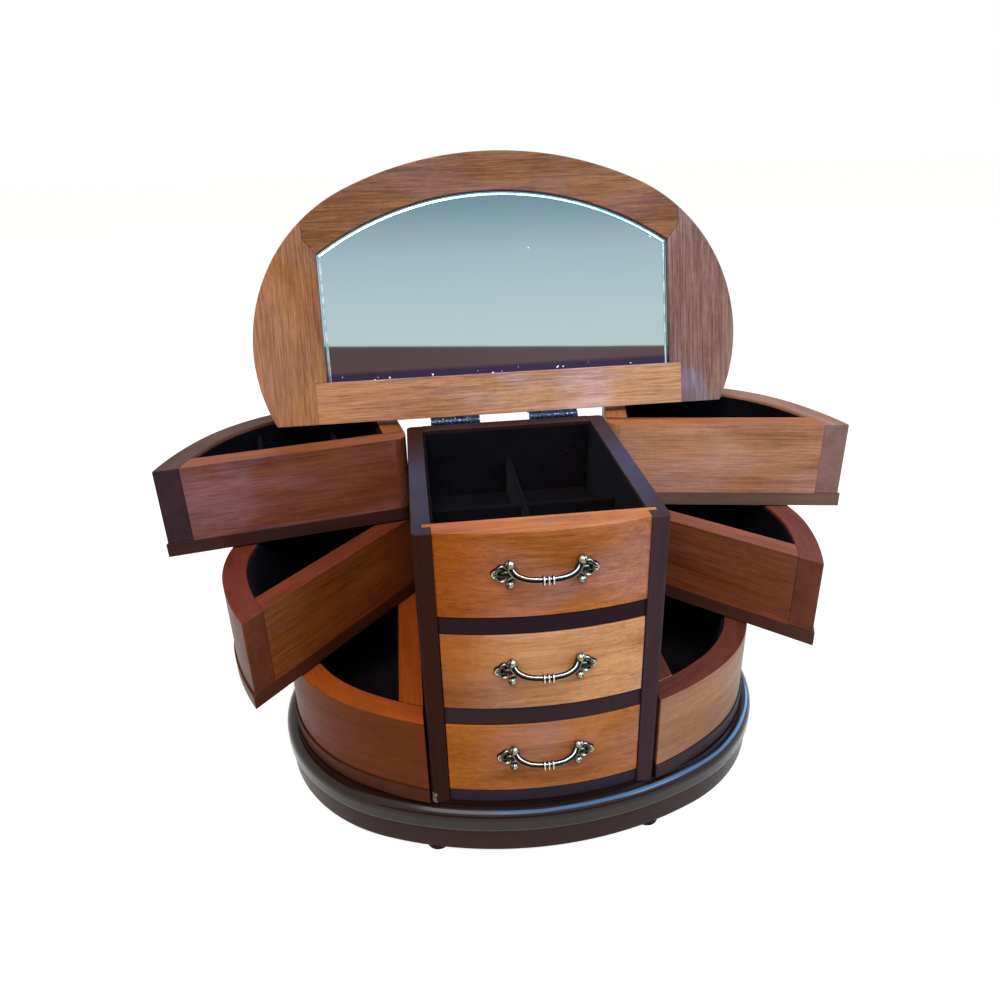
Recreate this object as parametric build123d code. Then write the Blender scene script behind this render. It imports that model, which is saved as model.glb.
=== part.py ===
from build123d import *
import os
from math import atan2, cos, hypot, sin, sqrt

# An oval wooden jewellery chest: a central tower with a fixed top front and two drawers,
# three tiers of D-shaped trays that swing out on an upright rod at each rear corner of the
# tower, a hinged lid with a mirror in it, and a moulded plinth on four small feet.
# Millimetres. +X is the chest's own right-hand side in the front view, +Y runs to the rear,
# +Z is up. The origin is on the floor, in the middle of the plinth's footprint.

# ---- the oval that the trays, fronts, lid and plinth all follow -------------------------
oval_half_width = 135.2     # centre line to the widest point
oval_side_radius = 90.9     # arc of each side
oval_front = 100.5          # widest station forward to the front of the oval
oval_rear = 41.3            # widest station back to the straight rear

# ---- tower -------------------------------------------------------------------------------
tower_width = 116.0
tower_depth = 136.6
tower_height = 155.6
panel_t = 9.0               # side panels, whose front edges are the posts
back_t = 9.0
post_round = 3.0            # rounded outer edges of the side panels
front_t = 10.0              # post face back to the flat inside face of the fronts
rail_setback = 0.6          # rails lie this far behind the oval
rail_bottom_h = 8.1
rail_middle_z = 50.1
rail_middle_h = 10.2
rail_upper_z = 102.9
rail_upper_h = 9.8
tongue_length = 4.0         # the fixed front is housed this far into each side panel
tongue_t = 2.6
shelf_t = 4.0
well_floor_t = 2.6

# ---- linings -----------------------------------------------------------------------------
lining_t = 1.2              # velvet on card
lining_drop = 1.6           # below the rim of what it lines
well_divider_t = 3.0
well_divider_top = 18.6     # below the tower's top
well_divider_y = 52.0       # cross divider, behind the post faces plus front_t
tray_divider_t = 2.4
tray_divider_top = 5.5      # below the tray's rim
tray_divider_places = (29.0, 71.0)   # forward of the pivot, when the tray is shut

# ---- trays -------------------------------------------------------------------------------
tray_below_rim = 0.4        # the top trays stop this far under the tower's top
tray_side_gap = 1.1         # flat wall to the tower's side
washer_t = 0.8
washer_r = 3.9
tray_base_t = 8.0
tray_base_lip = 1.0         # the dark base strip stands proud of the curved wall
curved_wall_t = 12.5
tray_front = 105.5          # the shut trays' own curve, a little fuller than the fronts'
flat_wall_t = 12.0
rear_wall_t = 12.0
corner_round = 7.4          # rear inner corner, which turns past the tower's side
pivot_inset = 9.2           # rod's axis from the flat face and from the rear face
rod_r = 1.6
rod_clearance = 0.05
rod_in_plinth = 8.0
rod_below_rim = 6.0
rod_end_gap = 0.4
upper_angle = 79.3          # how far each pair stands open at rest, degrees
middle_left_angle = 39.3
middle_right_angle = 45.9

# ---- drawers and pulls -------------------------------------------------------------------
front_gap = 0.4             # round each drawer front
drawer_side_gap = 0.5
drawer_lift = 0.3           # box above its shelf
drawer_wall = 5.0
drawer_bottom_t = 3.0
drawer_depth = 110.0
drawer_headroom = 4.0       # box sides below the rail above
pull_half = 20.0            # centre to the middle of each end flower
pull_petal_r = 2.1
pull_petal_out = 2.6
pull_plate_t = 1.8
pull_ball_in = 3.8          # ball centres, inboard of the flower's centre
pull_ball_up = 5.2
pull_ball_top_r = 2.3
pull_ball_low_r = 2.0
pull_bar_r = 1.25
pull_standoff = 8.0         # bar's axis in front of the drawer front, at the middle
pull_drop = 0.2
pull_ring_r = 2.5
pull_ring_w = 1.3
pull_ring_pitch = 2.2
pull_screw_r = 1.2
pull_screw_head_r = 2.6
pull_screw_head_t = 1.2
pull_rise = 1.8             # the pull sits a little above the middle of its front

# ---- plinth ------------------------------------------------------------------------------
foot_r = 6.0
foot_h = 2.5
foot_x = 56.5
foot_inset = 0.3            # foot's rim behind the skirt's face
skirt_out = 6.0             # skirt's face outside the oval
skirt_h = 14.3
skirt_t = 9.0
base_panel_t = 3.0
moulding_out = 7.6
moulding_h = 11.8
moulding_round = 5.4
moulding_under_round = 1.5
bead_out = 1.8
bead_h = 1.2
plinth_rear_out = 4.0

# ---- lid ---------------------------------------------------------------------------------
lid_out = 5.9               # lid's edge outside the oval
lid_gap = 0.5               # under the shut lid
lid_top_t = 6.5
lid_top_round = 3.5
mirror_lip = 2.5            # mirror's face behind the frame's face
mirror_t = 3.0
mirror_under = 3.0          # mirror's edge hidden behind the frame
opening_half = 101.6        # mirror opening, half width
opening_low = 23.9          # from the lid's rear edge
opening_side = 95.4
opening_top = 126.4
joint_half = 108.3          # stile joints, from the centre line
joint_corner = 104.0        # where the slanting joint meets the upright one
lid_angle = 106.1            # degrees from shut
leaf_t = 0.9
leaf_w = 9.0
leaf_length = 29.0
hinge_x = 29.2              # centre of each hinge from the centre line
knuckle_r = 2.6
knuckle_standoff = 3.1      # pin's axis behind the tower's rear face
hinge_pin_r = 1.1
hinge_clearance = 0.06
knuckle_gap = 0.3
knuckle_count = 4
leaf_screw_r = 1.0
leaf_screw_head_r = 1.8
leaf_screw_head_t = 0.5     # sunk in the leaf
leaf_screw_length = 6.0
leaf_screw_tower = 5.6      # below the pin
leaf_screw_lid = 7.0        # above the pin, clear of the frame
leaf_screw_out = 9.0        # screws either side of the leaf's middle

# ---- places worked out from the sizes above ----------------------------------------------
plinth_depth = skirt_out + oval_front + oval_rear + plinth_rear_out
rear_y = plinth_depth / 2 - plinth_rear_out
wide_y = rear_y - oval_rear
front_y = wide_y - oval_front
post_y = rear_y - tower_depth
inside_y = post_y + front_t
side_x = tower_width / 2 - panel_t
side_centre_x = oval_half_width - oval_side_radius
front_radius = (side_centre_x**2 + oval_front**2 - oval_side_radius**2) / (2 * (oval_front - oval_side_radius))
front_centre_y = front_y + front_radius
skirt_z = foot_h
moulding_z = skirt_z + skirt_h
tower_z = moulding_z + moulding_h + bead_h
top_z = tower_z + tower_height
tier_pitch = (tower_height - tray_below_rim) / 3
tray_h = tier_pitch - washer_t
flat_x = tower_width / 2 + tray_side_gap
pivot_x = flat_x + pivot_inset
pivot_y = rear_y - pivot_inset
pin_y = rear_y + knuckle_standoff
pin_z = top_z + lid_gap / 2
lid_z = top_z + lid_gap
frame_t = mirror_lip + mirror_t


def front_arc(front):
    """Radius and centre of the arc that joins the side arcs through a front station."""
    radius = (side_centre_x**2 + front**2 - oval_side_radius**2) / (2 * (front - oval_side_radius))
    return radius, wide_y - front + radius


def oval(out=0.0, rear=None, front=None):
    """The oval grown by out, cut straight at y = rear."""
    rear = rear_y if rear is None else rear
    front = oval_front if front is None else front
    radius, centre_y = front_arc(front)
    turn = atan2(wide_y - centre_y, side_centre_x)
    tangent = ((radius + out) * cos(turn), centre_y + (radius + out) * sin(turn))
    side_r = oval_side_radius + out
    rear_x = side_centre_x + sqrt(side_r**2 - (rear - wide_y)**2)
    widest = side_centre_x + side_r
    edges = [
        ThreePointArc((-tangent[0], tangent[1]), (0, wide_y - front - out), tangent),
        ThreePointArc(tangent, (widest, wide_y), (rear_x, rear)),
        Line((rear_x, rear), (-rear_x, rear)),
        ThreePointArc((-rear_x, rear), (-widest, wide_y), (-tangent[0], tangent[1])),
    ]
    return make_face(edges)


def slab(face, z, height):
    """A flat board cut to a plan outline."""
    return Pos(0, 0, z) * extrude(face, height)


def block(x0, x1, y0, y1, z0, z1):
    """A plain box between two corners."""
    return Pos((x0 + x1) / 2, (y0 + y1) / 2, (z0 + z1) / 2) * Box(x1 - x0, y1 - y0, z1 - z0)


def post(x, y, z, radius, height):
    """An upright cylinder standing on z."""
    return Pos(x, y, z + height / 2) * Cylinder(radius, height)


def upright_edges(shape, x, y):
    """The upright edges of a shape that stand at x, y."""
    return [e for e in shape.edges().filter_by(Axis.Z) if hypot(e.center().X - x, e.center().Y - y) < 0.01]


def write(name, *pieces):
    """One node's file, with each of its pieces as a solid of its own."""
    solids = [solid for piece in pieces for solid in piece.solids()]
    shape = solids[0] if len(solids) == 1 else Compound(children=solids)
    shape.label = name
    export_step(shape, f"parts/{name}.step")


# ---- plinth: four feet, a skirt, a bottom panel and the moulded board on top --------------
def write_plinth():
    skirt_front = skirt_out + front_radius
    foot_front_y = front_centre_y - sqrt(skirt_front**2 - foot_x**2) + foot_inset + foot_r
    foot_rear_y = rear_y + plinth_rear_out - foot_inset - foot_r
    feet = [post(x, y, 0, foot_r, foot_h) for x in (-foot_x, foot_x) for y in (foot_front_y, foot_rear_y)]
    write("foot_pads", *feet)
    outer = oval(skirt_out, rear_y + plinth_rear_out)
    inner = oval(skirt_out - skirt_t, rear_y + plinth_rear_out - skirt_t)
    write("plinth_skirt", slab(outer, skirt_z, skirt_h) - slab(inner, skirt_z, skirt_h))
    write("base_panel", slab(inner, skirt_z, base_panel_t))
    board = slab(oval(moulding_out, rear_y + plinth_rear_out + moulding_out - skirt_out), moulding_z, moulding_h)
    board = fillet(board.faces().sort_by(Axis.Z)[-1].edges(), moulding_round)
    board = fillet(board.faces().sort_by(Axis.Z)[0].edges(), moulding_under_round)
    bead = slab(oval(bead_out, rear_y + bead_out), moulding_z + moulding_h, bead_h)
    top = board + bead
    for side in (-1, 1):
        hole_z = tower_z - rod_in_plinth
        top -= post(side * pivot_x, pivot_y, hole_z, rod_r, rod_in_plinth)
    write("plinth_top", top)


def leaf_screws(up):
    """The four screws of the lid's leaves, or of the tower's, from behind them into the wood."""
    z = pin_z + (leaf_screw_lid if up else -leaf_screw_tower)
    length = leaf_t + leaf_screw_length
    head_y = rear_y + leaf_t - leaf_screw_head_t / 2
    screws = []
    for centre_x in (-hinge_x, hinge_x):
        for x in (centre_x - leaf_screw_out, centre_x + leaf_screw_out):
            shank = Pos(x, rear_y + leaf_t - length / 2, z) * Rot(90, 0, 0) * Cylinder(leaf_screw_r, length)
            head = Pos(x, head_y, z) * Rot(90, 0, 0) * Cylinder(leaf_screw_head_r, leaf_screw_head_t)
            screws.append(shank + head)
    return screws


# ---- tower: two side panels, a back, three bowed rails, shelves and the fixed front -------
def bowed(half, z, height, setback=0.0):
    """A front or rail: its face follows the oval, its back is flat."""
    reach = block(-half, half, front_y - 1, inside_y, z, z + height)
    return slab(oval(-setback), z, height) & reach


def write_tower():
    tongue_z = tower_z + rail_upper_z + rail_upper_h
    for name, side in (("tower_side_left", -1), ("tower_side_right", 1)):
        outer_x = side * tower_width / 2
        inner_x = side * side_x
        panel = block(min(outer_x, inner_x), max(outer_x, inner_x), post_y, rear_y, tower_z, top_z)
        corners = upright_edges(panel, outer_x, post_y) + upright_edges(panel, outer_x, rear_y)
        panel = fillet(corners, post_round)
        groove_x = side * (side_x + tongue_length)
        panel -= block(min(inner_x, groove_x), max(inner_x, groove_x), inside_y - tongue_t, inside_y, tongue_z, top_z)
        write(name, panel)
    back = block(-side_x, side_x, rear_y - back_t, rear_y, tower_z, top_z)
    for screw in leaf_screws(False):
        back -= screw
    write("tower_back", back)
    write("rail_lower", bowed(side_x, tower_z, rail_bottom_h, rail_setback))
    write("rail_middle", bowed(side_x, tower_z + rail_middle_z, rail_middle_h, rail_setback))
    write("rail_upper", bowed(side_x, tower_z + rail_upper_z, rail_upper_h, rail_setback))
    shelves = []
    for top, thick in (
        (rail_bottom_h, shelf_t),
        (rail_middle_z + rail_middle_h, shelf_t),
        (rail_upper_z + rail_upper_h, well_floor_t),
    ):
        z = tower_z + top
        shelves.append(block(-side_x, side_x, inside_y, rear_y - back_t, z - thick, z))
    write("shelf_boards", *shelves)


# ---- well under the lid: a velvet lining and two crossed dividers -------------------------
def write_well():
    floor_z = tower_z + rail_upper_z + rail_upper_h
    low_y = inside_y
    high_y = rear_y - back_t
    lining = block(-side_x, side_x, low_y, high_y, floor_z, top_z - lining_drop)
    bottom = floor_z + lining_t
    lining -= block(-side_x + lining_t, side_x - lining_t, low_y + lining_t, high_y - lining_t, bottom, top_z)
    write("well_lining", lining)
    divider_z = top_z - well_divider_top
    cross_y = inside_y + well_divider_y
    half = well_divider_t / 2
    cross = block(-side_x + lining_t, side_x - lining_t, cross_y - half, cross_y + half, bottom, divider_z)
    along = block(-half, half, low_y + lining_t, high_y - lining_t, bottom, divider_z)
    write("well_dividers", cross + along)


# ---- pulls: cast ends like small flowers, two balls each, and a bowed bar with three rings
def face_at(x):
    """Where the face of a front is, x from the centre line."""
    return front_centre_y - sqrt(front_radius**2 - x**2)


def pull_screws(centre_z):
    """The two screws of a pull, heads sunk in the back of the front."""
    screws = []
    for x in (-pull_half, pull_half):
        length = inside_y - face_at(x)
        shank = Pos(x, inside_y - length / 2, centre_z) * Rot(90, 0, 0) * Cylinder(pull_screw_r, length)
        head_y = inside_y - pull_screw_head_t / 2
        head = Pos(x, head_y, centre_z) * Rot(90, 0, 0) * Cylinder(pull_screw_head_r, pull_screw_head_t)
        screws.append(shank + head)
    return screws


def pull_casting(centre_z):
    """The cast pull, seated on the bowed face of the front whose middle is at centre_z."""
    end_x = pull_half - pull_ball_in
    path = ThreePointArc(
        (-end_x, face_at(end_x) - pull_bar_r, centre_z),
        (0, front_y - pull_standoff, centre_z - pull_drop),
        (end_x, face_at(end_x) - pull_bar_r, centre_z),
    )
    casting = sweep(Plane(origin=path @ 0, z_dir=path % 0) * Circle(pull_bar_r), path)
    for step in (-1, 0, 1):
        ring = Rot(0, 90, 0) * Cylinder(pull_ring_r, pull_ring_w)
        casting += Pos(step * pull_ring_pitch, front_y - pull_standoff, centre_z - pull_drop) * ring
    plate_y = face_at(pull_half) - pull_plate_t
    for side in (-1, 1):
        x = side * pull_half
        for dx, dz in ((0, 0), (pull_petal_out, 0), (0, pull_petal_out), (0, -pull_petal_out)):
            petal = Rot(90, 0, 0) * Cylinder(pull_petal_r, 2 * pull_plate_t)
            casting += Pos(x + side * dx, plate_y + pull_plate_t, centre_z + dz) * petal
        for ball_r, dz in ((pull_ball_top_r, pull_ball_up), (pull_ball_low_r, -pull_ball_up)):
            casting += Pos(side * end_x, face_at(end_x) - ball_r, centre_z + dz) * Sphere(ball_r)
        low = centre_z - pull_ball_up
        high = centre_z + pull_ball_up
        neck_x = side * end_x
        casting += block(neck_x - pull_bar_r, neck_x + pull_bar_r, plate_y, inside_y, low, high)
        web_x = sorted((x, neck_x))
        casting += block(*web_x, plate_y, inside_y, centre_z - pull_petal_r, centre_z + pull_petal_r)
    return casting - slab(oval(), tower_z, tower_height)


# ---- drawers: a bowed front on a plain box, lined with velvet ------------------------------
def write_drawer(name, low, high):
    """A drawer that fills the tower's front from low to high above the tower's foot."""
    z0 = tower_z + low
    z1 = tower_z + high
    centre_z = (z0 + z1) / 2 + pull_rise
    screws = pull_screws(centre_z)
    front = bowed(side_x - front_gap, z0 + front_gap, z1 - z0 - 2 * front_gap)
    for screw in screws:
        front -= screw
    write(f"{name}_front", front)
    write(f"{name}_pull", pull_casting(centre_z), *screws)
    half = side_x - drawer_side_gap
    box_z = z0 + drawer_lift
    box_top = z1 - drawer_headroom
    box_rear = inside_y + drawer_depth
    bottom_z = box_z + drawer_bottom_t
    inner = half - drawer_wall
    bottom = block(-half, half, inside_y, box_rear, box_z, bottom_z)
    left = block(-half, -inner, inside_y, box_rear, bottom_z, box_top)
    right = block(inner, half, inside_y, box_rear, bottom_z, box_top)
    back = block(-inner, inner, box_rear - drawer_wall, box_rear, bottom_z, box_top)
    write(f"{name}_box", bottom, left, right, back)
    lining = block(-inner, inner, inside_y, box_rear - drawer_wall, bottom_z, box_top - lining_drop)
    hollow = block(
        -inner + lining_t,
        inner - lining_t,
        inside_y + lining_t,
        box_rear - drawer_wall - lining_t,
        bottom_z + lining_t,
        box_top,
    )
    write(f"{name}_lining", lining - hollow)


def write_false_front():
    """The fixed front of the well, housed in the side panels; it carries the same pull."""
    z = tower_z + rail_upper_z + rail_upper_h
    tongue_x = side_x + tongue_length
    screws = pull_screws((z + top_z) / 2 + pull_rise)
    front = bowed(side_x, z, top_z - z)
    front += block(-tongue_x, tongue_x, inside_y - tongue_t, inside_y, z, top_z)
    for screw in screws:
        front -= screw
    write("false_front", front)
    write("top_pull", pull_casting((z + top_z) / 2 + pull_rise), *screws)


# ---- trays ---------------------------------------------------------------------------------
def tray_plan(out=0.0):
    """Plan of a shut right-hand tray, with its curved side grown by out."""
    big = 4 * oval_half_width
    half_plane = Pos(flat_x + big / 2, rear_y - big / 2) * Rectangle(big, big)
    plan = oval(out, front=tray_front) & half_plane
    corner = [v for v in plan.vertices() if hypot(v.X - flat_x, v.Y - rear_y) < 0.01]
    return fillet(corner, corner_round)


def tray_hollow(inset=0.0):
    """Plan of the space inside the walls, drawn in by inset."""
    big = 4 * oval_half_width
    low_x = flat_x + flat_wall_t + inset
    high_y = rear_y - rear_wall_t - inset
    curve = oval(-curved_wall_t - inset, front=tray_front)
    return curve & (Pos(low_x + big / 2, high_y - big / 2) * Rectangle(big, big))


def tray_pieces(top_tier, divided):
    """The pieces of a shut right-hand tray standing on z = 0, by name."""
    wall_h = tray_h - tray_base_t
    hole_top = tray_h - rod_below_rim if top_tier else tray_h
    hole = post(pivot_x, pivot_y, 0, rod_r + rod_clearance, hole_top)
    plan = slab(tray_plan(), tray_base_t, wall_h)
    inside = slab(oval(-curved_wall_t, front=tray_front), tray_base_t, wall_h)
    hollow = slab(tray_hollow(), tray_base_t, wall_h)
    far = 2 * oval_half_width
    behind = block(flat_x + flat_wall_t, far, rear_y - rear_wall_t, rear_y, 0, tray_h)
    straight = (plan & inside) - hollow
    flat_wall = straight - behind - hole
    rear_wall = straight & behind
    tub = hollow & block(0, far, wide_y - tray_front, rear_y, 0, tray_h - lining_drop)
    tub -= slab(tray_hollow(lining_t), tray_base_t + lining_t, wall_h)
    pieces = {
        "base": [slab(tray_plan(tray_base_lip), 0, tray_base_t) - hole],
        "curved_wall": [plan - inside],
        "straight_walls": [flat_wall, rear_wall],
        "lining": [tub],
    }
    if divided:
        room = slab(tray_hollow(lining_t), tray_base_t + lining_t, wall_h - lining_t - tray_divider_top)
        half = tray_divider_t / 2
        boards = []
        for place in tray_divider_places:
            y = pivot_y - place
            boards.append(room & block(0, far, y - half, y + half, 0, tray_h))
        pieces["dividers"] = boards
    return pieces


def write_trays():
    hinge_line = Axis((pivot_x, pivot_y, 0), (0, 0, 1))
    tiers = (("lower", 0.0, 0.0), ("middle", middle_left_angle, middle_right_angle), ("upper", upper_angle, upper_angle))
    for tier, (tier_name, left_angle, right_angle) in enumerate(tiers):
        z = tower_z + tier * tier_pitch + washer_t
        for side_name, angle in (("left", left_angle), ("right", right_angle)):
            divided = tier_name == "upper" and side_name == "left"
            for piece_name, solids in tray_pieces(tier_name == "upper", divided).items():
                placed = []
                for solid in solids:
                    turned = Pos(0, 0, z) * solid.rotate(hinge_line, angle)
                    placed.append(mirror(turned, about=Plane.YZ) if side_name == "left" else turned)
                write(f"tray_{tier_name}_{side_name}_{piece_name}", *placed)


def write_pivots():
    """Each rod stands in the plinth and carries three trays, a washer under each."""
    pieces = []
    rod_top = tower_height - tray_below_rim - rod_below_rim - rod_end_gap
    for side in (-1, 1):
        pieces.append(post(side * pivot_x, pivot_y, tower_z - rod_in_plinth, rod_r, rod_in_plinth + rod_top))
        for tier in range(3):
            ring = post(side * pivot_x, pivot_y, tower_z + tier * tier_pitch, washer_r, washer_t)
            bore = post(side * pivot_x, pivot_y, tower_z + tier * tier_pitch, rod_r, washer_t)
            pieces.append(ring - bore)
    write("tray_pivots", *pieces)


# ---- lid: four frame pieces, a mirror and a top board, drawn shut and then turned open -----
def lid_y(from_rear):
    """A station on the shut lid, measured forward from its rear edge."""
    return rear_y - from_rear


def mirror_outline(out=0.0):
    """The arched opening in the lid's frame, grown by out."""
    half = opening_half
    arch_r = (half**2 + (opening_top - opening_side)**2) / (2 * (opening_top - opening_side))
    arch_y = lid_y(opening_top) + arch_r
    corner = sqrt((arch_r + out)**2 - (half + out)**2)
    low = lid_y(opening_low) + out
    side_y = arch_y - corner
    edges = [
        ThreePointArc((-half - out, side_y), (0, arch_y - arch_r - out), (half + out, side_y)),
        Line((half + out, side_y), (half + out, low)),
        Line((half + out, low), (-half - out, low)),
        Line((-half - out, low), (-half - out, side_y)),
    ]
    return make_face(edges)


def stile_plan(side):
    """Everything outboard of the stile joint, with the strip that reaches in to the opening."""
    far = 2 * oval_half_width
    points = [
        (side * far, lid_y(0)),
        (side * joint_half, lid_y(0)),
        (side * joint_half, lid_y(opening_low)),
        (side * opening_half, lid_y(opening_low)),
        (side * opening_half, lid_y(opening_side)),
        (side * joint_half, lid_y(joint_corner)),
        (side * joint_half, lid_y(far)),
        (side * far, lid_y(far)),
    ]
    return make_face(Polyline(*points, close=True))


def opened(shape):
    """Turn a piece of the shut lid about the hinge pins to where it stands at rest."""
    return shape.rotate(Axis((0, pin_y, pin_z), (1, 0, 0)), -lid_angle)


def write_lid():
    plan = oval(lid_out)
    frame = slab(plan, lid_z, frame_t)
    frame -= slab(mirror_outline(), lid_z, frame_t)
    frame -= slab(mirror_outline(mirror_under), lid_z + mirror_lip, mirror_t)
    rails = frame
    for name, side in (("lid_stile_left", -1), ("lid_stile_right", 1)):
        cutter = slab(stile_plan(side), lid_z, frame_t)
        write(name, opened(frame & cutter))
        rails -= cutter
    rails = rails.solids().sort_by(Axis.Y)
    write("lid_rail_top", opened(rails[0]))
    write("lid_rail_bottom", opened(rails[-1]))
    write("mirror", opened(slab(mirror_outline(mirror_under), lid_z + mirror_lip, mirror_t)))
    board = slab(plan, lid_z + frame_t, lid_top_t)
    board = fillet(board.faces().sort_by(Axis.Z)[-1].edges(), lid_top_round)
    for screw in leaf_screws(True):
        board -= screw
    write("lid_top", opened(board))


# ---- lid hinges: two steel butt hinges on the rear faces of the tower and the lid ----------
def hinge_leaf(centre_x, first, up):
    """A leaf on the rear face, with every other knuckle from the first one on."""
    z0, z1 = (pin_z, pin_z + leaf_w) if up else (pin_z - leaf_w, pin_z)
    half = leaf_length / 2
    leaf = block(centre_x - half, centre_x + half, rear_y, rear_y + leaf_t, z0, z1)
    round_pin = Pos(centre_x, pin_y, pin_z) * Rot(0, 90, 0) * Cylinder(knuckle_r + knuckle_gap, leaf_length)
    leaf -= round_pin
    pitch = leaf_length / knuckle_count
    width = pitch - knuckle_gap
    for index in range(first, knuckle_count, 2):
        x = centre_x - half + (index + 0.5) * pitch
        barrel = Pos(x, pin_y, pin_z) * Rot(0, 90, 0) * Cylinder(knuckle_r, width)
        reach = knuckle_r if up else -knuckle_r
        low, high = sorted((pin_z, pin_z + 1.6 * reach))
        leaf += barrel
        leaf += block(x - width / 2, x + width / 2, rear_y, rear_y + leaf_t, low, high)
        leaf += block(x - width / 2, x + width / 2, rear_y, pin_y, *sorted((pin_z + 0.35 * reach, pin_z + 0.7 * reach)))
    leaf -= Pos(centre_x, pin_y, pin_z) * Rot(0, 90, 0) * Cylinder(hinge_pin_r + hinge_clearance, leaf_length)
    return leaf


def write_hinges():
    tower_screws, lid_screws = leaf_screws(False), leaf_screws(True)
    tower_leaves, lid_leaves, pins = [], [], []
    for side in (-1, 1):
        x = side * hinge_x
        tower_leaf = hinge_leaf(x, 1, False)
        lid_leaf = hinge_leaf(x, 0, True)
        for screw in tower_screws:
            tower_leaf -= screw
        for screw in lid_screws:
            lid_leaf -= screw
        tower_leaves.append(tower_leaf)
        lid_leaves.append(opened(lid_leaf))
        pins.append(Pos(x, pin_y, pin_z) * Rot(0, 90, 0) * Cylinder(hinge_pin_r, leaf_length))
    write("hinge_leaves_tower", *tower_leaves)
    write("hinge_leaves_lid", *lid_leaves)
    write("hinge_screws_tower", *tower_screws)
    write("hinge_screws_lid", *[opened(screw) for screw in lid_screws])
    write("hinge_pins", *pins)


os.makedirs("parts", exist_ok=True)
write_plinth()
write_tower()
write_well()
write_false_front()
write_drawer("drawer_lower", rail_bottom_h, rail_middle_z)
write_drawer("drawer_upper", rail_middle_z + rail_middle_h, rail_upper_z)
write_trays()
write_pivots()
write_lid()
write_hinges()
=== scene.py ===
from math import asin, atan2, cos, hypot, pi, radians, sin, sqrt

import bmesh
import bpy
from mathutils import Matrix, Vector


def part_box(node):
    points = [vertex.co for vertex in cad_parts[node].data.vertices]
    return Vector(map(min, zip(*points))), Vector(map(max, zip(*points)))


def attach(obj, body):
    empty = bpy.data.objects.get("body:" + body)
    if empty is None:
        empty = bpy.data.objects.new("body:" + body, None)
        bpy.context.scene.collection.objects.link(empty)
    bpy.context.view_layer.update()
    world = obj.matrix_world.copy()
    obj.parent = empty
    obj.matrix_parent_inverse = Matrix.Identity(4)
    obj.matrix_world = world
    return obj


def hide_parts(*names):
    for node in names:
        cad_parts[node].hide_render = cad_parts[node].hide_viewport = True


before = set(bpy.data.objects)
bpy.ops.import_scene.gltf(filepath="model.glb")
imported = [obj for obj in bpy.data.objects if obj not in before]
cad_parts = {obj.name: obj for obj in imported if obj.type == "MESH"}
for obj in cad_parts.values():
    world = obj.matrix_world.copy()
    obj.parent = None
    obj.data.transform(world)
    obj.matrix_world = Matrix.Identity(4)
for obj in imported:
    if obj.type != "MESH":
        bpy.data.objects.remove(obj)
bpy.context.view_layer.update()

MM = 0.001

# ---- Plinth ------------------------------------------------------------------------------
# An oval skirt with a moulded board on top, stained nearly black and lacquered. It stands on
# four small discs, and a thin panel closes it underneath.


class Field:
    """A value, colour or vector that changes over a surface: a socket with arithmetic."""

    def __init__(self, finish, socket):
        self.finish = finish
        self.socket = socket

    def maths(self, operation, *values):
        sockets = dict(enumerate(values))
        return self.finish.node("Math", {"operation": operation}, sockets)

    def __add__(self, other):
        return self.maths("ADD", self, other)

    def __radd__(self, other):
        return self.maths("ADD", other, self)

    def __sub__(self, other):
        return self.maths("SUBTRACT", self, other)

    def __rsub__(self, other):
        return self.maths("SUBTRACT", other, self)

    def __mul__(self, other):
        return self.maths("MULTIPLY", self, other)

    def __rmul__(self, other):
        return self.maths("MULTIPLY", other, self)

    def __truediv__(self, other):
        return self.maths("DIVIDE", self, other)

    def limited(self):
        """Held between 0 and 1."""
        return self.finish.node("Clamp", {}, {"Value": self})

    def step(self, low, high):
        """0 below low, 1 above high, and smooth between."""
        ends = {"Value": self, "From Min": low, "From Max": high}
        return self.finish.node("MapRange", {"interpolation_type": "SMOOTHSTEP"}, ends)


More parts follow.
